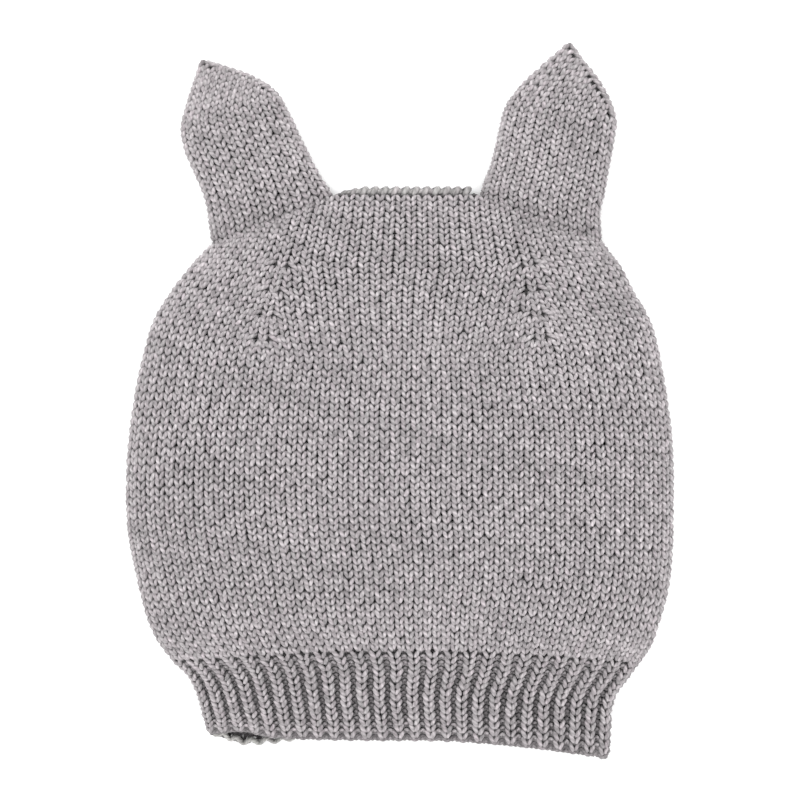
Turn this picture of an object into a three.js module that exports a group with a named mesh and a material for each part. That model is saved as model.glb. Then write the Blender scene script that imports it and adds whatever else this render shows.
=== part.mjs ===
// A knitted baby hat with two ears, laid flat on its back. Millimetres, +Z up.
// X runs across the hat, +Y from the mouth to the ears, and Z is the height above the surface it lies on.
// The origin is the centre of the hat's outline, on that surface.
//
// The hat is one flattened tube of knitting: a ribbed brim, a crown that narrows in its upper third,
// a seam that closes the middle of the crown, and two ears that are flattened socks with pointed ends.
// Every knitted piece is a hollow shell, made by lofting flattened rings of fabric.
import * as THREE from "three";

const crownWall = 3.0; // stocking stitch in a medium baby yarn
const ribWall = 3.2; // ribbing is thicker, because its columns stand in front of each other
const foldWall = 4.2; // fabric bunches a little where it turns over at a fold
const pieceGap = 0.35; // clear space between neighbouring pieces
const foldRun = 14; // width of the strip beside a fold where the underside leaves the surface
const foldRise = { base: 3.4, perHeight: 0.13 }; // height of the fold line above the surface
const arch = 2.4; // how squarely the upper layer arches from fold to fold
const wool = { color: 0x9b9698, roughness: 0.95, metalness: 0.0 };

const backDip = { x: -56, halfWidth: 10, depth: 3.4, fadeRow: 4 }; // the lower layer's hem shows past the upper

const crownRingPoints = 48;
const earRingPoints = 28;
const crownStep = 4; // knitted rows between two rings of the crown
const ribStep = 2;
const earStep = 2;

// One row of the table for each knitted row that shapes the tube, counted from the top of the ribbing.
// xLeft, yLeft, xRight, yRight: the two fold points. yMiddle: the row's place in the middle of the hat.
// height: top of the upper layer in the middle. shoulder: share of the half width where the row is straight.
// bend: power of the row's drop from the shoulder to the fold.
const tubeRows = [
  { row: -14, xLeft: -70.5, yLeft: -121.1, xRight: 76.7, yRight: -129.8, yMiddle: -122.2, height: 13, shoulder: 0, bend: 2 },
  { row: -7, xLeft: -73.8, yLeft: -108.0, xRight: 78.2, yRight: -109.8, yMiddle: -106.3, height: 14.5, shoulder: 0, bend: 2 },
  { row: -3, xLeft: -77.5, yLeft: -100.4, xRight: 83.3, yRight: -101.8, yMiddle: -97.1, height: 15.5, shoulder: 0, bend: 2 },
  { row: 0, xLeft: -82.9, yLeft: -95.3, xRight: 87.6, yRight: -96.0, yMiddle: -90.2, height: 16.5, shoulder: 0, bend: 2 },
  { row: 5, xLeft: -90.5, yLeft: -84.4, xRight: 92.7, yRight: -87.3, yMiddle: -78.1, height: 18.5, shoulder: 0, bend: 2 },
  { row: 12, xLeft: -96.0, yLeft: -65.5, xRight: 98.5, yRight: -66.2, yMiddle: -61.2, height: 20.5, shoulder: 0, bend: 2 },
  { row: 23, xLeft: -99.8, yLeft: -41.8, xRight: 99.8, yRight: -37.1, yMiddle: -34.5, height: 22, shoulder: 0, bend: 2 },
  { row: 34, xLeft: -98.5, yLeft: -9.1, xRight: 98.9, yRight: -9.1, yMiddle: -8.6, height: 22, shoulder: 0, bend: 2 },
  { row: 46, xLeft: -91.4, yLeft: 25.4, xRight: 92.5, yRight: 26.2, yMiddle: 19.6, height: 20, shoulder: 0.2, bend: 1.7 },
  { row: 53, xLeft: -83.7, yLeft: 39.8, xRight: 85.4, yRight: 39.8, yMiddle: 34.8, height: 17.5, shoulder: 0.35, bend: 1.4 },
  { row: 59, xLeft: -77.8, yLeft: 47.6, xRight: 81.0, yRight: 48.6, yMiddle: 47.5, height: 15, shoulder: 0.4, bend: 1.2 },
  { row: 66, xLeft: -72.6, yLeft: 53.5, xRight: 76.7, yRight: 54.4, yMiddle: 62.0, height: 11.5, shoulder: 0.38, bend: 1.05 },
  { row: 72, xLeft: -69.1, yLeft: 57.1, xRight: 74.2, yRight: 58.2, yMiddle: 74.5, height: 7.8, shoulder: 0.36, bend: 1 },
];
const hemRow = tubeRows[0].row;
const ribTopRow = 0;
const crownTopRow = tubeRows[tubeRows.length - 1].row;

// One row for each knitted row that shapes an ear, counted from its base.
// xOuter, yOuter: the fold on the hat's outer side. xInner, yInner: the fold on the seam's side.
const leftEarRows = [
  { row: 0, xOuter: -69.1, yOuter: 57.1, xInner: -23.6, yInner: 74.5, height: 7.8 },
  { row: 4, xOuter: -70.2, yOuter: 65.3, xInner: -29.0, yInner: 82.6, height: 9.8 },
  { row: 7, xOuter: -71.3, yOuter: 72.7, xInner: -32.4, yInner: 89.1, height: 10.5 },
  { row: 11, xOuter: -74.9, yOuter: 81.5, xInner: -36.4, yInner: 97.1, height: 10.5 },
  { row: 15, xOuter: -78.9, yOuter: 90.9, xInner: -40.4, yInner: 105.5, height: 10.5 },
  { row: 19, xOuter: -80.2, yOuter: 99.6, xInner: -44.7, yInner: 112.7, height: 10 },
  { row: 23, xOuter: -78.2, yOuter: 108.0, xInner: -52.0, yInner: 117.8, height: 9 },
  { row: 26, xOuter: -76.4, yOuter: 114.2, xInner: -58.9, yInner: 120.7, height: 8 },
  { row: 29, xOuter: -74.2, yOuter: 120.7, xInner: -67.3, yInner: 123.3, height: 7 },
  { row: 30, xOuter: -73.4, yOuter: 123.0, xInner: -70.0, yInner: 124.2, height: 6.4 },
];
const rightEarRows = [
  { row: 0, xOuter: 74.2, yOuter: 58.2, xInner: 28.4, yInner: 74.5, height: 7.8 },
  { row: 4, xOuter: 73.5, yOuter: 68.2, xInner: 30.8, yInner: 80.9, height: 9.8 },
  { row: 7, xOuter: 74.9, yOuter: 74.9, xInner: 32.7, yInner: 85.8, height: 10.5 },
  { row: 11, xOuter: 76.4, yOuter: 83.6, xInner: 34.5, yInner: 92.7, height: 10.5 },
  { row: 15, xOuter: 78.2, yOuter: 92.7, xInner: 36.0, yInner: 100.0, height: 10.5 },
  { row: 19, xOuter: 79.3, yOuter: 102.5, xInner: 38.2, yInner: 107.3, height: 10 },
  { row: 23, xOuter: 76.0, yOuter: 112.0, xInner: 43.6, yInner: 114.9, height: 9 },
  { row: 26, xOuter: 71.3, yOuter: 119.3, xInner: 50.2, yInner: 121.1, height: 8 },
  { row: 29, xOuter: 65.8, yOuter: 126.2, xInner: 58.2, yInner: 128.4, height: 7 },
  { row: 30, xOuter: 63.8, yOuter: 129.4, xInner: 60.4, yInner: 130.2, height: 6.4 },
];
const earTipRow = 30;
const earHollowEndRow = 26; // the two layers meet beyond this row

const seam = { height: 3.2, thickness: 6.6, endClearance: 1.2, lift: 0.4, steps: 12, corner: 0.35 };

// Value of a table's column at a knitted row, on a smooth curve through the table's rows.
function columnAt(table, key, row) {
  let i = 0;
  while (i < table.length - 2 && row > table[i + 1].row) i += 1;
  const before = table[Math.max(i - 1, 0)];
  const low = table[i];
  const high = table[i + 1];
  const after = table[Math.min(i + 2, table.length - 1)];
  const span = high.row - low.row;
  const share = (row - low.row) / span;
  const slopeLow = ((high[key] - before[key]) / (high.row - before.row)) * span;
  const slopeHigh = ((after[key] - low[key]) / (after.row - low.row)) * span;
  const a = 2 * low[key] - 2 * high[key] + slopeLow + slopeHigh;
  const b = -3 * low[key] + 3 * high[key] - 2 * slopeLow - slopeHigh;
  return ((a * share + b) * share + slopeLow) * share + low[key];
}

function rowAt(table, row) {
  const made = {};
  for (const key of Object.keys(table[0])) {
    made[key] = key === "row" ? row : columnAt(table, key, row);
  }
  return made;
}

// Height of a flattened ring at a place across it: across is -1 and 1 at the folds, and inset is the wall.
function ringHeight(across, upper, height, halfWidth, inset) {
  const fold = foldRise.base + foldRise.perHeight * height;
  if (upper) {
    const rise = height - inset - fold;
    return fold + rise * Math.sqrt(Math.max(0, 1 - Math.abs(across) ** arch));
  }
  const run = Math.min(foldRun, halfWidth * 0.6);
  const beside = Math.max(0, Math.abs(across) * halfWidth - (halfWidth - run)) / run;
  return inset + (fold - inset) * (1 - Math.sqrt(Math.max(0, 1 - beside * beside)));
}

// How far the lower layer hangs past the upper one: only close to the hem, in a shallow dip left of the middle.
function backSlip(x, row) {
  const nearHem = Math.max(0, (backDip.fadeRow - row) / (backDip.fadeRow - hemRow));
  const beside = (x - backDip.x) / backDip.halfWidth;
  return backDip.depth * nearHem * nearHem * Math.exp(-beside * beside);
}

// A ring of points round the flattened tube at one knitted row, from the right fold over the top.
function tubeRing(row, wall) {
  const at = rowAt(tubeRows, row);
  const side = wall > 0 ? foldWall : 0;
  const halfWidth = (at.xRight - at.xLeft) / 2;
  const middle = (at.xRight + at.xLeft) / 2;
  const ring = [];
  for (let i = 0; i < crownRingPoints; i += 1) {
    const angle = (2 * Math.PI * i) / crownRingPoints;
    const across = Math.cos(angle);
    const reach = across * (halfWidth - side);
    const share = Math.abs(reach) / halfWidth;
    const beyond = Math.max(0, (share - at.shoulder) / (1 - at.shoulder)) ** at.bend;
    const foldY = across < 0 ? at.yLeft : at.yRight;
    const upper = Math.sin(angle) >= 0;
    const slip = upper ? 0 : backSlip(middle + reach, row);
    const y = at.yMiddle + (foldY - at.yMiddle) * beyond - slip;
    const z = ringHeight(across, upper, at.height, halfWidth - side, wall);
    ring.push(new THREE.Vector3(middle + reach, y, z));
  }
  return ring;
}

function earRing(table, row, wall) {
  const at = rowAt(table, row);
  const outer = new THREE.Vector2(at.xOuter, at.yOuter);
  const inner = new THREE.Vector2(at.xInner, at.yInner);
  const halfWidth = outer.distanceTo(inner) / 2;
  const side = wall > 0 ? foldWall : 0;
  const middle = outer.clone().add(inner).multiplyScalar(0.5);
  const along = (outer.x < inner.x ? inner.clone().sub(outer) : outer.clone().sub(inner)).normalize();
  const ring = [];
  for (let i = 0; i < earRingPoints; i += 1) {
    const angle = (2 * Math.PI * i) / earRingPoints;
    const across = Math.cos(angle);
    const reach = across * (halfWidth - side);
    const z = ringHeight(across, Math.sin(angle) >= 0, at.height, halfWidth - side, wall);
    ring.push(new THREE.Vector3(middle.x + along.x * reach, middle.y + along.y * reach, z));
  }
  return ring;
}

function rowsBetween(first, last, step) {
  const count = Math.max(1, Math.round((last - first) / step));
  return Array.from({ length: count + 1 }, (_, i) => first + ((last - first) * i) / count);
}

// One closed skin through a chain of rings. The chain closes on itself, or ends in two flat caps.
function skin(rings, closed) {
  const size = rings[0].length;
  const position = rings.flat().flatMap((p) => [p.x, p.y, p.z]);
  const index = [];
  const links = closed ? rings.length : rings.length - 1;
  for (let i = 0; i < links; i += 1) {
    const low = i * size;
    const high = ((i + 1) % rings.length) * size;
    for (let j = 0; j < size; j += 1) {
      const next = (j + 1) % size;
      index.push(low + j, high + next, low + next, low + j, high + j, high + next);
    }
  }
  if (!closed) {
    const last = (rings.length - 1) * size;
    for (let j = 1; j < size - 1; j += 1) {
      index.push(0, j, j + 1, last, last + j + 1, last + j);
    }
  }
  const geometry = new THREE.BufferGeometry();
  geometry.setAttribute("position", new THREE.Float32BufferAttribute(position, 3));
  geometry.setIndex(index);
  geometry.computeVertexNormals();
  return geometry;
}

// A length of the flattened tube, open at both ends, between two knitted rows.
function tubeShell(first, last, step, wall) {
  const rows = rowsBetween(first, last, step);
  const outside = rows.map((row) => tubeRing(row, 0));
  const inside = rows.map((row) => tubeRing(row, wall)).reverse();
  return skin([...outside, ...inside], true);
}

// An ear: a flattened sock with its open end at the crown. Its hollow ends in a narrow ring short of the tip.
function earShell(table, first) {
  const outside = rowsBetween(first, earTipRow, earStep).map((row) => earRing(table, row, 0));
  const inside = rowsBetween(first, earHollowEndRow, earStep).map((row) => earRing(table, row, crownWall * 0.9));
  return skin([...inside.reverse(), ...outside], false);
}

// The seam: a rounded ridge along the middle of the crown's top edge.
function seamBar() {
  const left = leftEarRows[0].xInner + seam.endClearance;
  const right = rightEarRows[0].xInner - seam.endClearance;
  const low = tubeRows[tubeRows.length - 1].yMiddle + pieceGap;
  const cut = seam.corner * seam.height;
  const half = seam.thickness / 2;
  const profile = [
    [0, half],
    [seam.height - cut, half],
    [seam.height, half - cut],
    [seam.height, cut - half],
    [seam.height - cut, -half],
    [0, -half],
  ];
  const rings = rowsBetween(left, right, (right - left) / seam.steps).map((x) =>
    profile.map(([y, z]) => new THREE.Vector3(x, low + y, z + half + seam.lift)),
  );
  return skin(rings, false);
}

function knitted(name, geometry) {
  const mesh = new THREE.Mesh(geometry, new THREE.MeshStandardMaterial(wool));
  mesh.name = name;
  return mesh;
}

const rowGap = pieceGap / 2.4; // the gap in knitted rows, which are about 2.4 mm high

const hat = new THREE.Group();
hat.add(
  knitted("rib_brim", tubeShell(hemRow, ribTopRow - rowGap, ribStep, ribWall)),
  knitted("crown", tubeShell(ribTopRow, crownTopRow, crownStep, crownWall)),
  knitted("crown_seam", seamBar()),
  knitted("ear_left", earShell(leftEarRows, rowGap * 1.5)),
  knitted("ear_right", earShell(rightEarRows, rowGap * 1.5)),
);

// The origin is put at the middle of the outline, on the surface.
const outline = new THREE.Box3().setFromObject(hat);
const centre = outline.getCenter(new THREE.Vector3());
for (const piece of hat.children) {
  piece.geometry.translate(-centre.x, -centre.y, -outline.min.z);
}

export default hat;
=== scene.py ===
# A knitted baby hat with two ears, lying on its back. Every stitch is a real loop of yarn:
# each knitted row is one strand that is swept along the loops it makes.
import math

import bpy
import numpy as np
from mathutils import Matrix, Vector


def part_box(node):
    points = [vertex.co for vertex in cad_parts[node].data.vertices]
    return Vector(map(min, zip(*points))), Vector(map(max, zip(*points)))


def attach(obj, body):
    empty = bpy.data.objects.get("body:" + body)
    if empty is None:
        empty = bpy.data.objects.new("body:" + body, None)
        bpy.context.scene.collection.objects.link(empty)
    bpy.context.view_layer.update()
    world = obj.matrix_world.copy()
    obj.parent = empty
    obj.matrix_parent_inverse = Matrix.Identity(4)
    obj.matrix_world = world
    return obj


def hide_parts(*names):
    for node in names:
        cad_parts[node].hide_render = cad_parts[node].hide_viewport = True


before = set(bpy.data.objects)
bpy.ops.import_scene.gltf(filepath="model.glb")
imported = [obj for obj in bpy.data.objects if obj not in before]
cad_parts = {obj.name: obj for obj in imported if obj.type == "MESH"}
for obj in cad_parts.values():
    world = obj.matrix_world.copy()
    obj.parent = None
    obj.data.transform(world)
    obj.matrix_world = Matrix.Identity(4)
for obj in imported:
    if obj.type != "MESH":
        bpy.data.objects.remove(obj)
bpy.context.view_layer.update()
mm = 0.001  # lengths below are in millimetres
rng = np.random.default_rng(41)

yarn = {
    "radius": 0.80,
    "frontSides": 5,  # corners of the strand's section on the side that shows
    "backSides": 4,
    "wander": 0.05,  # how unevenly the loops sit, in columns and rows
    "unevenWeight": 0.07,  # how much one leg's thickness differs from the next
    "press": 0.82,  # how far the yarn stays round where it rests on the table
}

# One loop from one column's edge to the other: across in columns, up in rows, out in millimetres, thickness.
# The two legs stand in front, and the head and the sinkers that join neighbouring loops lie behind.
loopHalf = [
    (-0.50, -0.26, -1.55, 0.80),
    (-0.09, -0.06, -0.95, 0.84),
    (-0.13, 0.28, 0.02, 1.03),
    (-0.25, 0.66, 0.16, 1.10),
    (-0.37, 1.02, -0.30, 0.96),
    (-0.34, 1.26, -1.15, 0.82),
]
loopHead = (0.0, 1.36, -1.55, 0.80)
plainHalf = [
    (-0.50, -0.26, -1.35, 0.88),
    (-0.07, 0.00, -0.70, 1.0),
    (-0.21, 0.56, 0.16, 1.12),
    (-0.36, 1.08, -0.60, 1.0),
]


def wholeLoop(half, head):
    mirrored = [(-u, v, h, w) for u, v, h, w in reversed(half[1:])]
    return np.array(half + [head] + mirrored)


fineLoop = wholeLoop(loopHalf, loopHead)
plainLoop = wholeLoop(plainHalf, loopHead)

# The flattened tube of the brim and the crown, one entry for each knitted row that shapes it.
tube = {
    "names": ("row", "xLeft", "yLeft", "xRight", "yRight", "yMiddle", "height", "shoulder", "bend"),
    "rows": [
        (-14, -70.5, -121.1, 76.7, -129.8, -122.2, 13.0, 0.0, 2.0),
        (-7, -73.8, -108.0, 78.2, -109.8, -106.3, 14.5, 0.0, 2.0),
        (-3, -77.5, -100.4, 83.3, -101.8, -97.1, 15.5, 0.0, 2.0),
        (0, -82.9, -95.3, 87.6, -96.0, -90.2, 16.5, 0.0, 2.0),
        (5, -90.5, -84.4, 92.7, -87.3, -78.1, 18.5, 0.0, 2.0),
        (12, -96.0, -65.5, 98.5, -66.2, -61.2, 20.5, 0.0, 2.0),
        (23, -99.8, -41.8, 99.8, -37.1, -34.5, 22.0, 0.0, 2.0),
        (34, -98.5, -9.1, 98.9, -9.1, -8.6, 22.0, 0.0, 2.0),
        (46, -91.4, 25.4, 92.5, 26.2, 19.6, 20.0, 0.2, 1.7),
        (53, -83.7, 39.8, 85.4, 39.8, 34.8, 17.5, 0.35, 1.4),
        (59, -77.8, 47.6, 81.0, 48.6, 47.5, 15.0, 0.4, 1.2),
        (66, -72.6, 53.5, 76.7, 54.4, 62.0, 11.5, 0.38, 1.05),
        (72, -69.1, 57.1, 74.2, 58.2, 74.5, 7.8, 0.36, 1.0),
    ],
    "hemRow": -14,
    "ribTopRow": 0,
    "topRow": 72,
    "backDip": {"x": -56.0, "halfWidth": 10.0, "depth": 3.4, "fadeRow": 4},
    "frontLift": {"x": -57.5, "halfWidth": 8.0, "depth": -1.7, "fadeRow": -8},
}
fold = {"base": 3.4, "perHeight": 0.13, "run": 14.0, "arch": 2.4}
fabric = {
    "sink": 0.9,  # the strand's middle lies this far inside the hat's outer face
    "rowDrift": 0.22,  # rows
    "columnDrift": 0.0022,  # share of a layer
}


# Smooth curves through a shaping table, read at any knitted row.
def shapingCurves(names, rows, step=0.25):
    data = np.array(rows, float)
    at = np.arange(data[0, 0], data[-1, 0] + step / 2, step)
    low = np.clip(np.searchsorted(data[:, 0], at, side="right") - 1, 0, len(data) - 2)
    before, after = np.maximum(low - 1, 0), np.minimum(low + 2, len(data) - 1)
    span = data[low + 1, 0] - data[low, 0]
    share = (at - data[low, 0]) / span
    curves = {"row": at}
    for i, name in enumerate(names):
        if name == "row":
            continue
        p0, p1 = data[low, i], data[low + 1, i]
        m0 = (p1 - data[before, i]) / (data[low + 1, 0] - data[before, 0]) * span
        m1 = (data[after, i] - p0) / (data[after, 0] - data[low, 0]) * span
        a, b = 2 * p0 - 2 * p1 + m0 + m1, -3 * p0 + 3 * p1 - 2 * m0 - m1
        curves[name] = ((a * share + b) * share + m0) * share + p0
    return curves


# Heights of the upper and lower layer at a place across the hat, -1 and 1 being the folds.
def layerHeights(across, height, halfWidth):
    foldLine = fold["base"] + fold["perHeight"] * height
    inside = np.maximum(0, 1 - np.abs(across) ** fold["arch"])
    upper = foldLine + (height - foldLine) * np.sqrt(inside)
    run = np.minimum(fold["run"], halfWidth * 0.6)
    beside = np.maximum(0, np.abs(across) * halfWidth - (halfWidth - run)) / run
    lower = foldLine * (1 - np.sqrt(np.maximum(0, 1 - beside**2)))
    return upper, lower


# A flattened ring of fabric for every row, sampled at even lengths round each layer: 0 is the left
# fold, 1 the right fold and 2 the left fold again, over the upper layer and back under the lower one.
class Surface:
    samples = 240

    def __init__(self, curves, dip=None, raised=None):
        self.rows = curves["row"]
        angle = np.linspace(math.pi, 0, self.samples * 2 + 1)
        across = np.cos(angle)[None, :]
        left, right = curves["xLeft"][:, None], curves["xRight"][:, None]
        halfWidth, middle = (right - left) / 2, (right + left) / 2
        x = middle + across * halfWidth
        yFold = np.where(across < 0, curves["yLeft"][:, None], curves["yRight"][:, None])
        if "yMiddle" in curves:
            shoulder, bend = curves["shoulder"][:, None], np.maximum(curves["bend"][:, None], 0.9)
            yMiddle = curves["yMiddle"][:, None]
            beyond = np.maximum(0, (np.abs(across) - shoulder) / (1 - shoulder)) ** bend
            y = yMiddle + (yFold - yMiddle) * beyond
            width = halfWidth
        else:
            yLeft, yRight = curves["yLeft"][:, None], curves["yRight"][:, None]
            y = (yLeft + yRight) / 2 + across * (yRight - yLeft) / 2
            width = np.hypot(right - left, yRight - yLeft) / 2
        upper, lower = layerHeights(across, curves["height"][:, None], width)
        top = np.stack([x, y - self.slip(x, raised), upper], axis=2)
        under = np.stack([x, y - self.slip(x, dip), lower], axis=2)[:, ::-1]
        self.frontLength = self.lengthOf(top)[:, -1]
        ring = np.concatenate([self.even(top)[:, :-1], self.even(under)[:, :-1]], axis=1)
        self.place = np.concatenate([ring, ring[:, :1]], axis=1)
        alongRing = np.roll(ring, -1, axis=1) - np.roll(ring, 1, axis=1)
        alongRow = np.gradient(ring, axis=0)
        normal = np.cross(alongRing, alongRow)
        normal /= np.linalg.norm(normal, axis=2, keepdims=True) + 1e-9
        self.normal = np.concatenate([normal, normal[:, :1]], axis=1)

    def slip(self, x, wave):
        if wave is None:
            return np.zeros_like(x)
        nearHem = np.clip((wave["fadeRow"] - self.rows) / (wave["fadeRow"] - self.rows[0]), 0, 1)[:, None]
        return wave["depth"] * nearHem**2 * np.exp(-(((x - wave["x"]) / wave["halfWidth"]) ** 2))

    def lengthOf(self, line):
        step = np.linalg.norm(np.diff(line, axis=1), axis=2)
        return np.concatenate([np.zeros((len(line), 1)), np.cumsum(step, axis=1)], axis=1)

    def even(self, line):
        length = self.lengthOf(line)
        share = np.linspace(0, 1, self.samples + 1)
        out = np.empty((len(line), self.samples + 1, 3))
        for i, (points, run) in enumerate(zip(line, length)):
            for axis in range(3):
                out[i, :, axis] = np.interp(share * run[-1], run, points[:, axis])
        return out

    def at(self, row, share):
        r = np.clip((row - self.rows[0]) / (self.rows[1] - self.rows[0]), 0, len(self.rows) - 1.001)
        beyond = row - np.clip(row, self.rows[0], self.rows[-1])
        t = np.mod(share, 2.0) * self.samples
        i, j = r.astype(int), np.minimum(t.astype(int), 2 * self.samples - 1)
        a, b = (r - i)[..., None], (t - j)[..., None]

        def blend(grid):
            low = grid[i, j] * (1 - b) + grid[i, j + 1] * b
            high = grid[i + 1, j] * (1 - b) + grid[i + 1, j + 1] * b
            return low * (1 - a) + high * a, high - low

        place, alongRow = blend(self.place)
        place = place + alongRow * (beyond / (self.rows[1] - self.rows[0]))[..., None]
        normal, _ = blend(self.normal)
        return place, normal / np.linalg.norm(normal, axis=-1, keepdims=True)


tubeSurface = Surface(shapingCurves(tube["names"], tube["rows"]), tube["backDip"], tube["frontLift"])
print("crown and brim surface ready")

# Four darts shape the crown, two in each layer. Each is a straight column of stitches, and the columns
# beside it end against it. Side columns are counted from a side fold, middle ones from the hat's middle.
darts = {
    "rows": (46, 50, 54, 58),
    "side": 13.5,  # columns from a fold to the dart's middle
    "middle": 14.5,
    "place": ((-20, 0.2411), (44, 0.2411), (52, 0.228), (59, 0.223), (66, 0.228), (72, 0.2375)),
    "settle": 3,  # columns over which the fabric evens out beside the dart
    "reach": 2.4,  # rows over which a lost column closes
    "sharpReach": 1.2,
    "lean": 0.34,  # how far the stitch that takes in its neighbour leans, in columns
    "sideColumns": 13,  # whole columns between a fold and a dart, below the darts
    "middleColumns": 14,  # and between a dart and the hat's middle
}


def dartShare(row):
    return np.interp(row, [p[0] for p in darts["place"]], [p[1] for p in darts["place"]])


def columnsGone(row, sharp):
    gone = np.zeros_like(row, dtype=float)
    reach = darts["sharpReach"] if sharp else darts["reach"]
    for dartRow in darts["rows"]:
        s = np.clip((row - dartRow + reach) / (2 * reach), 0, 1)
        gone += s * s * (3 - 2 * s)
    return gone


# Where a column's line crosses a row, as a share round the ring, on a panel counted from its own middle.
def panelShare(panel, column, row):
    dart = dartShare(row)
    span = dart if panel == "side" else 0.5 - dart
    even = darts[panel] - columnsGone(row, False)
    now = darts[panel] - columnsGone(row, True)
    near = np.clip((np.abs(column) - (now - darts["settle"])) / darts["settle"], 0, 1) ** 2
    return (column + np.sign(column) * (even - now) * near) * span / even


# The rows rise towards each side fold and end at the ear's crease. "fold" pairs a knitted row with how
# many rows of the surface it stands higher at the fold; this fades out over the ear's own columns.
crease = {
    "columns": 13 / 40,
    "fold": ((46, 0.0), (50, 0.4), (53, 1.1), (57, 4.8), (59, 6.7), (61, 10.0), (72, 24.0)),
    "fade": 1.3,
    "turnRows": 2.5,  # the ear's columns bend into line over these rows
    "turn": 1.6,  # millimetres
    # valley: the stitches lie lower in the crease, and the lower height also darkens them with painted shade
    "valley": 0.3,  # how much lower the stitches lie in the crease
    "valleyRows": 1.6,
    "blend": 0.04,  # share of a layer over which the valley ends beside the ear
}


def raisedRow(row, share):
    fromFold = np.minimum(share, 1 - share) / crease["columns"]
    fade = np.clip(1 - fromFold, 0, 1) ** crease["fade"]
    return row + fade * np.interp(row, [p[0] for p in crease["fold"]], [p[1] for p in crease["fold"]])


# Slow wander of the fabric, so that rows and columns aren't ruled lines.
waves = [(rng.uniform(0.1, 0.35), rng.uniform(5, 22), rng.uniform(0, 6.28)) for _ in range(10)]


def drift(row, share, which):
    total = 0
    for i, (perRow, perShare, phase) in enumerate(waves):
        sign = 1 if (i + which) % 2 else -1
        total = total + np.sin(row * perRow + sign * share * perShare + phase + which * 1.7)
    return total / len(waves)


# The path of one knitted row through its loops. shares(u, v) gives the place round the ring.
def laceRow(surface, row, count, shares, loop, lift=None, skew=None, rise=None, valley=None):
    u, v, h, w = (np.tile(values, (count, 1)) for values in loop.T)
    legs = (np.abs(loop[:, 0]) > 0.05) & (np.abs(loop[:, 0]) < 0.45)
    side = np.where(loop[:, 0] < 0, 0, 1)
    for values, size in ((u, 0.6), (v, 1.4)):
        wobble = rng.normal(0, yarn["wander"] * size, (count, 2))
        values += np.where(legs, wobble[:, side], 0)
    weight = rng.normal(0, yarn["unevenWeight"], (count, 2))
    w *= 1 + np.where(legs, weight[:, side], 0)
    if skew is not None:
        u += skew[:, None] * np.clip(1 - v, -0.2, 1.3)
        w *= 1 + 0.12 * np.abs(skew[:, None])
    if lift is not None:
        h = h * lift["side"][:, None] + lift["height"][:, None]
        edge = np.abs(loop[:, 0]) > 0.45
        h[:, edge] = lift["seam"]
        w[:, edge] *= 0.9
    rows = row + v
    share = shares(u, rows)
    rows = rows + fabric["rowDrift"] * drift(rows, share, 0)
    if rise is not None:
        rows = rise(rows, share)
    # the crease lowers the stitches, which also gives them more painted shade
    if valley is not None:
        fromFold = np.minimum(np.mod(share, 1), 1 - np.mod(share, 1))
        blend = crease["blend"]
        inEar = 1.0 if valley == 0 else np.clip((crease["columns"] + blend / 2 - fromFold) / blend, 0, 1)
        h = h - crease["valley"] * inEar * np.exp(-(((rows - valley) / crease["valleyRows"]) ** 2))
    share = share + fabric["columnDrift"] * drift(rows, share, 1)
    place, normal = surface.at(rows, share)
    path = place + normal * (h - fabric["sink"])[..., None]
    return path.reshape(-1, 3), normal.reshape(-1, 3), w.reshape(-1), h.reshape(-1)


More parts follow.
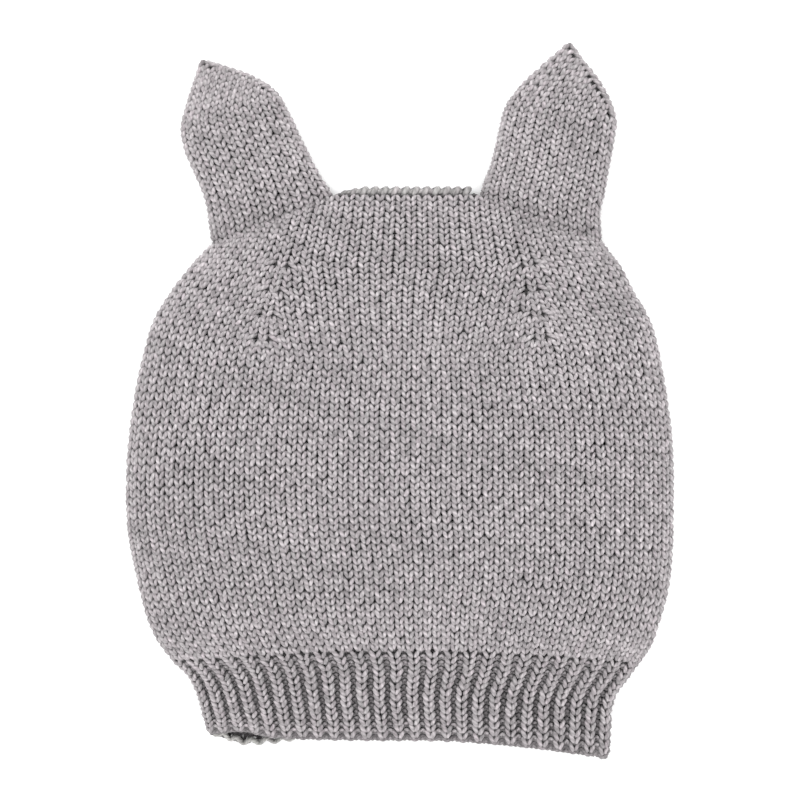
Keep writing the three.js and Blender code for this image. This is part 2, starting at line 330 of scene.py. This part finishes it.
# Sweeps a round strand along each path and joins them into one mesh, in metres.
def strandMesh(name, strands, sides):
    points, faces, baked, plied, crests = [], [], [], [], []
    start = 0
    longest = max(len(strand[0]) for strand in strands)
    band = 1 / len(strands)
    for order, (path, normal, weight, height) in enumerate(strands):
        n = len(path)
        path = path.copy()
        path[:, 2] = np.maximum(path[:, 2], yarn["radius"] * weight * yarn["press"])
        along = np.gradient(path, axis=0)
        along /= np.linalg.norm(along, axis=1, keepdims=True) + 1e-9
        out = normal - along * np.sum(normal * along, axis=1, keepdims=True)
        out /= np.linalg.norm(out, axis=1, keepdims=True) + 1e-9
        across = np.cross(along, out)
        radius = yarn["radius"] * weight
        radius[0] *= 0.1
        radius[-1] *= 0.1
        angle = 2 * math.pi * (np.arange(sides) + 0.5) / sides
        ring = out[:, None] * np.cos(angle)[None, :, None] + across[:, None] * np.sin(angle)[None, :, None]
        points.append((path[:, None] + ring * radius[:, None, None]).reshape(-1, 3))
        # each point's height in the fabric, which the material turns into painted shade down in the gaps
        crests.append((height[:, None] + radius[:, None] * np.cos(angle)[None, :] + 1.6).ravel() / 2.5)
        i, j = np.meshgrid(np.arange(n - 1), np.arange(sides), indexing="ij")
        nextJ = (j + 1) % sides
        quad = np.stack([i * sides + j, i * sides + nextJ, (i + 1) * sides + nextJ, (i + 1) * sides + j], 2)
        faces.append(quad.reshape(-1, 4)[:, ::-1] + start)
        start += n * sides
        length = np.concatenate([[0], np.cumsum(np.linalg.norm(np.diff(path, axis=0), axis=1))])
        around = np.stack([j, j + 1, j + 1, j], 2) / sides
        place = np.stack([i, i, i + 1, i + 1], 2)
        strip = (order + 0.05 + 0.9 * around) * band
        baked.append(np.stack([place / longest, strip], 3).reshape(-1, 4, 2)[:, ::-1])
        run = length[place] + order * 37.0
        plied.append(np.stack([run, around], 3).reshape(-1, 4, 2)[:, ::-1])
    mesh = bpy.data.meshes.new(name)
    vertices = np.concatenate(points) * mm
    quads = np.concatenate(faces)
    mesh.vertices.add(len(vertices))
    mesh.vertices.foreach_set("co", vertices.astype(np.float32).ravel())
    mesh.loops.add(quads.size)
    mesh.loops.foreach_set("vertex_index", quads.astype(np.int32).ravel())
    mesh.polygons.add(len(quads))
    mesh.polygons.foreach_set("loop_start", np.arange(0, quads.size, 4, dtype=np.int32))
    mesh.polygons.foreach_set("use_smooth", np.ones(len(quads), dtype=bool))
    for layer, parts in (("OFBake", baked), ("strand", plied)):
        uv = mesh.uv_layers.new(name=layer)
        uv.data.foreach_set("uv", np.concatenate(parts).astype(np.float32).ravel())
    crest = mesh.attributes.new("crest", "FLOAT", "POINT")
    crest.data.foreach_set("value", np.clip(np.concatenate(crests), 0, 1).astype(np.float32))
    mesh.update()
    mesh.validate()
    piece = bpy.data.objects.new(name, mesh)
    bpy.context.scene.collection.objects.link(piece)
    print(name, len(quads) * 2, "triangles")
    return piece


# The yarn: dyed and undyed wool spun together, which gives a flecked grey.
wool = {
    "shades": ((0.30, 0.225), (0.43, 0.31), (0.53, 0.375), (0.63, 0.455), (0.75, 0.58)),
    # deep: the painted shade at the bottom of the gaps between the loops
    "deep": 0.27,  # share of the colour left at the bottom of the gaps
    # betweenPlies: the share of the colour left in the grooves between the plies, a painted shade
    "betweenPlies": 0.78,
    "tint": (1.0, 0.921, 0.959),
    "roughness": 0.88,
    "sheen": 0.25,
    "patch": 28.0,  # size in millimetres of the soft lighter and darker patches
}


def yarnMaterial(name, gain=1.0, tint=wool["tint"]):
    material = bpy.data.materials.new(name)
    material.use_nodes = True
    nodes, links = material.node_tree.nodes, material.node_tree.links
    nodes.clear()

    def node(kind, **settings):
        made = nodes.new(kind)
        for key, value in settings.items():
            if key in made.inputs:
                made.inputs[key].default_value = value
            else:
                setattr(made, key, value)
        return made

    output = node("ShaderNodeOutputMaterial")
    shader = node("ShaderNodeBsdfPrincipled")
    shader.inputs["Roughness"].default_value = wool["roughness"]
    shader.inputs["Sheen Weight"].default_value = wool["sheen"]
    shader.inputs["Sheen Roughness"].default_value = 0.5
    shader.inputs["Specular IOR Level"].default_value = 0.25
    links.new(shader.outputs[0], output.inputs["Surface"])

    strand = node("ShaderNodeUVMap", uv_map="strand")
    objectPlace = node("ShaderNodeTexCoord")

    # shade along the strand: dyed and undyed wool spun together
    heather = node("ShaderNodeMapping")
    heather.inputs["Scale"].default_value = (0.19, 0.9, 1.0)
    links.new(strand.outputs[0], heather.inputs["Vector"])
    flecks = node("ShaderNodeTexNoise", Scale=1.0, Detail=3.0, Roughness=0.62)
    links.new(heather.outputs[0], flecks.inputs["Vector"])
    ramp = node("ShaderNodeValToRGB")
    ramp.color_ramp.interpolation = "LINEAR"
    stops = wool["shades"]
    while len(ramp.color_ramp.elements) < len(stops):
        ramp.color_ramp.elements.new(0.5)
    for element, (position, value) in zip(ramp.color_ramp.elements, stops):
        element.position = position
        element.color = (value * tint[0] * gain, value * tint[1] * gain, value * tint[2] * gain, 1)
    links.new(flecks.outputs["Fac"], ramp.inputs["Fac"])

    # faint warm and cool fibres
    hues = node("ShaderNodeTexNoise", Scale=0.13, Detail=1.0)
    links.new(strand.outputs[0], hues.inputs["Vector"])
    hueRamp = node("ShaderNodeValToRGB")
    hueRamp.color_ramp.elements[0].position = 0.3
    hueRamp.color_ramp.elements[0].color = (0.97, 1.0, 0.975, 1)
    hueRamp.color_ramp.elements[1].position = 0.72
    hueRamp.color_ramp.elements[1].color = (1.0, 0.975, 0.982, 1)
    links.new(hues.outputs["Fac"], hueRamp.inputs["Fac"])
    tinted = node("ShaderNodeMix", data_type="RGBA", blend_type="MULTIPLY")
    tinted.inputs[0].default_value = 1.0
    links.new(ramp.outputs[0], tinted.inputs[6])
    links.new(hueRamp.outputs[0], tinted.inputs[7])

    # soft patches over the whole hat
    patches = node("ShaderNodeTexNoise", Scale=1 / (wool["patch"] * mm), Detail=2.0)
    links.new(objectPlace.outputs["Object"], patches.inputs["Vector"])
    patchRange = node("ShaderNodeMapRange")
    patchRange.inputs["From Min"].default_value = 0.3
    patchRange.inputs["From Max"].default_value = 0.7
    patchRange.inputs["To Min"].default_value = 0.93
    patchRange.inputs["To Max"].default_value = 1.05
    links.new(patches.outputs["Fac"], patchRange.inputs["Value"])
    patched = node("ShaderNodeVectorMath", operation="SCALE")
    links.new(tinted.outputs[2], patched.inputs[0])
    links.new(patchRange.outputs[0], patched.inputs["Scale"])

    # painted shade: the colour darkens with each point's depth in the fabric, down between the legs where
    # less light reaches the wool
    crest = node("ShaderNodeAttribute", attribute_name="crest")
    depth = node("ShaderNodeMapRange", interpolation_type="SMOOTHSTEP")
    depth.inputs["From Min"].default_value = 0.4
    depth.inputs["From Max"].default_value = 1.06
    depth.inputs["To Min"].default_value = wool["deep"]
    depth.inputs["To Max"].default_value = 1.0
    links.new(crest.outputs["Fac"], depth.inputs["Value"])
    shaded = node("ShaderNodeVectorMath", operation="SCALE")
    links.new(patched.outputs[0], shaded.inputs[0])
    links.new(depth.outputs[0], shaded.inputs["Scale"])

    # plies wound round the strand, with the grooves between them painted darker and their tops a little
    # lighter (painted shade and highlight), and fine fibres along them
    wind = node("ShaderNodeMapping")
    wind.inputs["Scale"].default_value = (0.66, 3.04, 1.0)
    links.new(strand.outputs[0], wind.inputs["Vector"])
    plies = node("ShaderNodeTexWave", wave_type="BANDS", bands_direction="DIAGONAL", Scale=0.62)
    plies.inputs["Distortion"].default_value = 1.2
    plies.inputs["Detail"].default_value = 1.0
    links.new(wind.outputs[0], plies.inputs["Vector"])
    plyShade = node("ShaderNodeMapRange")
    plyShade.inputs["To Min"].default_value = wool["betweenPlies"]
    plyShade.inputs["To Max"].default_value = 1.1
    links.new(plies.outputs["Fac"], plyShade.inputs["Value"])
    plied = node("ShaderNodeVectorMath", operation="SCALE")
    links.new(shaded.outputs[0], plied.inputs[0])
    links.new(plyShade.outputs[0], plied.inputs["Scale"])
    links.new(plied.outputs[0], shader.inputs["Base Color"])
    fibres = node("ShaderNodeTexNoise", Scale=2.2, Detail=3.0, Roughness=0.7)
    fibreMap = node("ShaderNodeMapping")
    fibreMap.inputs["Scale"].default_value = (0.7, 6.0, 1.0)
    links.new(strand.outputs[0], fibreMap.inputs["Vector"])
    links.new(fibreMap.outputs[0], fibres.inputs["Vector"])
    plyBump = node("ShaderNodeBump", Strength=0.5, Distance=0.25 * mm)
    fibreBump = node("ShaderNodeBump", Strength=0.6, Distance=0.12 * mm)
    links.new(plies.outputs["Fac"], plyBump.inputs["Height"])
    links.new(fibres.outputs["Fac"], fibreBump.inputs["Height"])
    links.new(plyBump.outputs[0], fibreBump.inputs["Normal"])
    links.new(fibreBump.outputs[0], shader.inputs["Normal"])
    return material


yarnGrey = yarnMaterial("heathered grey yarn")
# the rib's copy of the yarn is a little darker than the crown's, a painted shade
ribGreyPaintedShade = yarnMaterial("heathered grey yarn, rib", gain=0.92)
seamGrey = yarnMaterial("heathered grey yarn, seam", gain=0.98, tint=(0.99, 0.945, 0.95))
# the back edge's copy of the yarn is lighter than the rib's, a painted light
edgeGreyPaintedLight = yarnMaterial("heathered grey yarn, edge", gain=1.0, tint=(0.99, 0.965, 0.945))


def finishPiece(piece, material, *nodes):
    piece.data.materials.append(material)
    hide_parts(*nodes)
    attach(piece, "root")
    return piece


# The crown, in bands that keep each mesh light.
crown = {
    "frontBands": (
        (0, 24, "crown_front_lower"),
        (24, 48, "crown_front_middle"),
        (48, 72, "crown_front_upper"),
    ),
    "backBands": ((0, 36, "crown_back_lower"), (36, 72, "crown_back_upper")),
    "pastCrease": 0.3,  # rows past the crease at which a column stops
}


# One row of the crown over one layer: side columns, a dart, middle columns, a dart, side columns.
def crownRow(row, back, loop):
    gone = sum(1 for dartRow in darts["rows"] if row >= dartRow)
    side, middle = darts["sideColumns"] - gone, darts["middleColumns"] - gone
    start = 1.0 if back else 0.0
    turn = darts["lean"] if row in darts["rows"] else 0.0
    # panel, column counted from the panel's own middle or fold, lean
    stitches = [(0, k + 0.5, -turn if k == side - 1 else 0.0) for k in range(side)]
    stitches.append((1, 0.0, 0.0))
    leans = {-middle: turn, middle - 1: -turn}
    stitches += [(2, k + 0.5, leans.get(k, 0.0)) for k in range(-middle, middle)]
    stitches.append((3, 0.0, 0.0))
    stitches += [(4, k + 0.5, turn if k == -side else 0.0) for k in range(-side, 0)]
    panels, columns, lean = (np.array(part) for part in zip(*stitches))
    panels, columns = panels[:, None], columns[:, None]

    def shares(u, rows):
        place = columns + u
        sideWidth = dartShare(rows) / (darts["side"] - columnsGone(rows, False))
        middleWidth = (0.5 - dartShare(rows)) / (darts["middle"] - columnsGone(rows, False))
        dartColumn = dartShare(rows) + place * np.where(place < 0, sideWidth, middleWidth)
        farDart = 1 - dartShare(rows) + place * np.where(place < 0, middleWidth, sideWidth)
        found = np.select(
            [panels == 0, panels == 1, panels == 2, panels == 3, panels == 4],
            [
                panelShare("side", place, rows),
                dartColumn,
                0.5 + panelShare("middle", place, rows),
                farDart,
                1.0 + panelShare("side", place, rows),
            ],
        )
        return start + found

    # a column ends where it meets the crease
    middles = shares(np.zeros((len(panels), 1)), np.full((len(panels), 1), row + 0.5))
    keep = (raisedRow(row + 0.5, middles - start) < tube["topRow"] + crown["pastCrease"])[:, 0]
    panels, columns = panels[keep], columns[keep]
    return laceRow(
        tubeSurface,
        row,
        len(panels),
        shares,
        loop,
        skew=lean[keep],
        rise=lambda rows, share: raisedRow(rows, share - start),
        valley=tube["topRow"],
    )


for bands, back, loop, sides in (
    (crown["frontBands"], False, fineLoop, yarn["frontSides"]),
    (crown["backBands"], True, plainLoop, yarn["backSides"]),
):
    for first, last, name in bands:
        strands = [crownRow(row, back, loop) for row in range(first, last)]
        finishPiece(strandMesh(name, strands, sides), yarnGrey, "crown")

# The brim: a wide knitted column and a narrow sunken one, in turn.
brim = {
    "pairs": 26,  # knit and purl columns over each layer
    "knitShare": 0.73,  # of a pair's width
    "knitLift": 0.45,
    "purlLift": -2.0,
    "fadeRows": 5,  # rows below the crown over which the ribs rise out of it
    "deepAtCrown": 0.66,  # share of their full depth
    "hemRows": 3,  # rows above the edge over which they flatten again
    "deepAtHem": 0.6,
}


def brimRow(row, back, loop):
    count = brim["pairs"] * 2
    index = np.arange(count)
    knit = index % 2 == 0
    pair = (index // 2)[:, None]
    knitWidth = brim["knitShare"]
    start = 1.0 if back else 0.0
    centre = np.where(knit, knitWidth / 2, knitWidth + (1 - knitWidth) / 2)[:, None]
    width = np.where(knit, knitWidth, 1 - knitWidth)[:, None]

    def shares(u, rows):
        return start + (pair + centre + u * width) / brim["pairs"]

    fromCrown, fromHem = tube["ribTopRow"] - 1 - row, row - tube["hemRow"]
    crownDeep, hemDeep = brim["deepAtCrown"], brim["deepAtHem"]
    nearCrown = crownDeep + (1 - crownDeep) * fromCrown / brim["fadeRows"]
    nearHem = hemDeep + (1 - hemDeep) * fromHem / brim["hemRows"]
    deep = min(1.0, nearCrown, nearHem)
    lift = {
        "side": np.where(knit, 1.0, -1.0),
        "height": np.where(knit, brim["knitLift"] * deep, brim["purlLift"] * deep),
        "seam": -0.7 * deep,
    }
    return laceRow(tubeSurface, row, count, shares, loop, lift=lift)


for name, back, loop, sides in (
    ("brim_front", False, fineLoop, yarn["frontSides"]),
    ("brim_back", True, plainLoop, yarn["backSides"]),
):
    strands = [brimRow(row, back, loop) for row in range(tube["hemRow"], tube["ribTopRow"])]
    finishPiece(strandMesh(name, strands, sides), ribGreyPaintedShade, "rib_brim")


# The cast-on edge: a strand that runs along the hem under the ribs, lower at each knitted column.
castOn = {
    # rows up, out in millimetres, thickness
    "strands": ((0.05, -0.55, 0.95), (0.5, -1.7, 1.05), (0.2, -2.7, 1.0)),
    "backUp": 0.2,  # share of the rows up that the back edge keeps
    # backShade: the back edge's colour takes no painted shade, so its inner side shows as lit as the rest
    "backShade": 1.6,  # keeps the back edge, which shows its inner side, as light as the rest
    "swing": 0.34,  # rows
    "loose": {"x": -43.0, "halfWidth": 7.0, "depth": 1.7},
}


def castOnStrands(back):
    start = 1.0 if back else 0.0
    share = np.linspace(0, 1, brim["pairs"] * 12 + 1)
    knit = np.cos(2 * math.pi * (share * brim["pairs"] - brim["knitShare"] / 2))
    found = []
    for up, out, weight in castOn["strands"]:
        rows = tube["hemRow"] + up * (castOn["backUp"] if back else 1) - castOn["swing"] * knit
        place, normal = tubeSurface.at(rows, start + share)
        height = out + 0.25 * knit
        place = place + normal * (height - fabric["sink"])[:, None]
        if back:
            loose = castOn["loose"]
            away = (place[:, 0] - loose["x"]) / loose["halfWidth"]
            place[:, 1] -= loose["depth"] * np.exp(-(away**2))
        shade = np.full(len(share), castOn["backShade"]) if back else height
        found.append((place, normal, np.full(len(share), weight), shade))
    return found


finishPiece(strandMesh("brim_edge_front", castOnStrands(False), yarn["frontSides"]), ribGreyPaintedShade, "rib_brim")
finishPiece(strandMesh("brim_edge_back", castOnStrands(True), yarn["frontSides"]), edgeGreyPaintedLight, "rib_brim")

# The ears, hollow socks of two layers that start in the crown's crease and end in a point.
ear = {
    "names": ("row", "xLeft", "yLeft", "xRight", "yRight", "height"),
    "left": [
        (0, -69.1, 57.1, -23.6, 74.5, 7.8),
        (4, -70.2, 65.3, -29.0, 82.6, 9.8),
        (7, -71.3, 72.7, -32.4, 89.1, 10.5),
        (11, -74.9, 81.5, -36.4, 97.1, 10.5),
        (15, -78.9, 90.9, -40.4, 105.5, 10.5),
        (19, -80.2, 99.6, -44.7, 112.7, 10.0),
        (23, -78.2, 108.0, -52.0, 117.8, 9.0),
        (26, -76.4, 114.2, -58.9, 120.7, 8.0),
        (29, -74.2, 120.7, -67.3, 123.3, 7.0),
        (30, -73.4, 123.0, -70.0, 124.2, 6.4),
    ],
    "right": [
        (0, 28.4, 74.5, 74.2, 58.2, 7.8),
        (4, 30.8, 80.9, 73.5, 68.2, 9.8),
        (7, 32.7, 85.8, 74.9, 74.9, 10.5),
        (11, 34.5, 92.7, 76.4, 83.6, 10.5),
        (15, 36.0, 100.0, 78.2, 92.7, 10.5),
        (19, 38.2, 107.3, 79.3, 102.5, 10.0),
        (23, 43.6, 114.9, 76.0, 112.0, 9.0),
        (26, 50.2, 121.1, 71.3, 119.3, 8.0),
        (29, 58.2, 128.4, 65.8, 126.2, 7.0),
        (30, 60.4, 130.2, 63.8, 129.4, 6.4),
    ],
    "columns": 13,
    "narrowFromRow": 18,
    "tipRow": 30,
}
earSurfaces = {side: Surface(shapingCurves(ear["names"], ear[side])) for side in ("left", "right")}
print("ear surfaces ready")


def earRow(side, row, back, loop):
    surface = earSurfaces[side]
    total = ear["columns"]
    lengths = surface.frontLength

    def pitch(rows):
        full = np.interp(ear["narrowFromRow"], surface.rows, lengths)
        here = np.interp(rows, surface.rows, lengths)
        return np.where(rows > ear["narrowFromRow"], full / np.maximum(here, 3.0), 1.0) / total

    wide = 1 / float(pitch(np.array(row + 0.5)))  # columns that fit across this row
    start = 1.0 if back else 0.0
    if back:
        columns = np.arange(total) - (total - 1) / 2
        columns = columns[np.abs(columns) <= wide / 2 - 0.15][:, None]
        edge = np.zeros_like(columns)
    else:
        # columns are counted from the left fold, and end against a chain that follows the right fold
        columns = np.arange(total - 1) + 0.5
        columns = columns[columns <= wide - 1.25]
        columns = np.append(columns, -0.55)[:, None]
        edge = (columns < 0) * 1.0

    def shares(u, rows):
        found = edge + (columns + u) * pitch(rows) + (0.5 if back else 0.0)
        turned = np.clip(1 - np.abs(rows) / crease["turnRows"], 0, 1) ** 2 * crease["turn"] / lengths[0]
        inner = np.sin(math.pi * np.clip(found, 0, 1))
        lean = turned * inner * (-1 if side == "left" else 1) * (-1 if back else 1)
        return start + np.clip(found + lean, 0.0, 1.0)

    return laceRow(surface, row, len(columns), shares, loop, valley=0)


for side in ("left", "right"):
    for name, back, loop, sides in (
        (f"ear_{side}_front", False, fineLoop, yarn["frontSides"]),
        (f"ear_{side}_back", True, plainLoop, yarn["backSides"]),
    ):
        strands = [earRow(side, row, back, loop) for row in range(-1, ear["tipRow"])]
        finishPiece(strandMesh(name, strands, sides), yarnGrey, f"ear_{side}")

# The top is closed with one strand wound over the edge, about a turn for each column, round a core of three.
seam = {
    "turns": 13,
    "leftOff": 0.45,  # of the last turn, which ends before it goes under
    "middle": 75.95,
    "rise": 1.1,
    "thick": 2.3,
    "turnWeight": 1.5,
    "slant": 1.5,
    "taper": 7.0,  # the left end thins over this length
    "drop": 1.2,  # and lies this much lower there
    # shade and coreShade: how deep the winding and its core count as lying, which sets their painted shade
    "shade": -0.35,  # how deep the strand counts as lying, for its colour
    "startGap": 0.8,
    "core": (-1.4, 0.0, 1.4),  # heights of its three strands
    "coreWeight": 1.4,
    "coreShade": -0.3,
    "coreInset": (0.5, 4.0),
}


def seamWinding():
    low, high = (np.array(corner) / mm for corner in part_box("crown_seam"))
    start, end = low[0] + seam["startGap"], high[0]
    level = (low[2] + high[2]) / 2
    strands = []
    turn = np.linspace(0, seam["turns"] - seam["leftOff"], seam["turns"] * 12 + 1)
    x = start + (end - start) * turn / seam["turns"]
    angle = 2 * math.pi * turn
    size = 0.55 + 0.45 * np.clip((x - start) / seam["taper"], 0, 1) * np.clip((end - x) / 1.5 + 0.3, 0, 1)
    sideways, up = np.cos(angle), np.sin(angle)
    x = x + seam["slant"] * sideways
    y = seam["middle"] - seam["drop"] * (1 - size) + seam["rise"] * sideways * size
    path = np.stack([x, y, level + seam["thick"] * up * size], 1)
    out = np.stack([0 * x, 0.4 * sideways, up], 1)
    out /= np.linalg.norm(out, axis=1, keepdims=True)
    strands.append((path, out, seam["turnWeight"] * size, seam["shade"] + 0 * x))
    for offset in seam["core"]:
        x = np.linspace(start + seam["coreInset"][0], end - seam["coreInset"][1], 40)
        size = 0.6 + 0.4 * np.clip((x - start) / seam["taper"], 0, 1)
        path = np.stack([x, seam["middle"] - seam["drop"] * (1 - size), level + offset + 0 * x], 1)
        up = np.tile([0.0, 0.0, 1.0], (len(x), 1))
        strands.append((path, up, seam["coreWeight"] * size, seam["coreShade"] + 0 * x))
    return strands


finishPiece(strandMesh("crown_seam_winding", seamWinding(), 7), seamGrey, "crown_seam")

# The floor, the lights and the camera straight above.
studio = {
    "floorSide": 3.0,
    "floorShade": 0.96,
    "sky": 1.6,
    "cameraHeight": 694.0,
    "lens": 85.0,
}
floorMesh = bpy.data.meshes.new("floor")
half = studio["floorSide"] / 2
corners = [(-half, -half, 0), (half, -half, 0), (half, half, 0), (-half, half, 0)]
floorMesh.from_pydata(corners, [], [(0, 1, 2, 3)])
floor = bpy.data.objects.new("floor", floorMesh)
floor.location.z = -0.0004
bpy.context.scene.collection.objects.link(floor)
floorMaterial = bpy.data.materials.new("pale floor")
floorMaterial.use_nodes = True
floorShader = floorMaterial.node_tree.nodes["Principled BSDF"]
floorShader.inputs["Base Color"].default_value = (studio["floorShade"],) * 3 + (1,)
floorShader.inputs["Roughness"].default_value = 0.9
floorMesh.materials.append(floorMaterial)

world = bpy.data.worlds.new("studio")
world.use_nodes = True
world.node_tree.nodes["Background"].inputs["Color"].default_value = (1, 1, 1, 1)
world.node_tree.nodes["Background"].inputs["Strength"].default_value = studio["sky"]
bpy.context.scene.world = world

lamps = {
    "key": {"place": (-0.9, 0.9, 1.4), "size": 0.9, "power": 9.0},
    "fill": {"place": (1.1, -0.5, 1.3), "size": 1.2, "power": 3.0},
}
for name, lamp in lamps.items():
    light = bpy.data.lights.new(name, "AREA")
    light.size = lamp["size"]
    light.energy = lamp["power"]
    holder = bpy.data.objects.new(name, light)
    holder.location = lamp["place"]
    aim = -holder.location
    holder.rotation_euler = aim.to_track_quat("-Z", "Y").to_euler()
    bpy.context.scene.collection.objects.link(holder)

lens = bpy.data.cameras.new("camera")
lens.lens = studio["lens"]
lens.sensor_width = 36
lens.clip_end = 10
camera = bpy.data.objects.new("camera", lens)
camera.location = (0, 0, studio["cameraHeight"] * mm)
bpy.context.scene.collection.objects.link(camera)
bpy.context.scene.camera = camera
bpy.context.scene.view_settings.view_transform = "Standard"
print("floor, lights and camera ready")
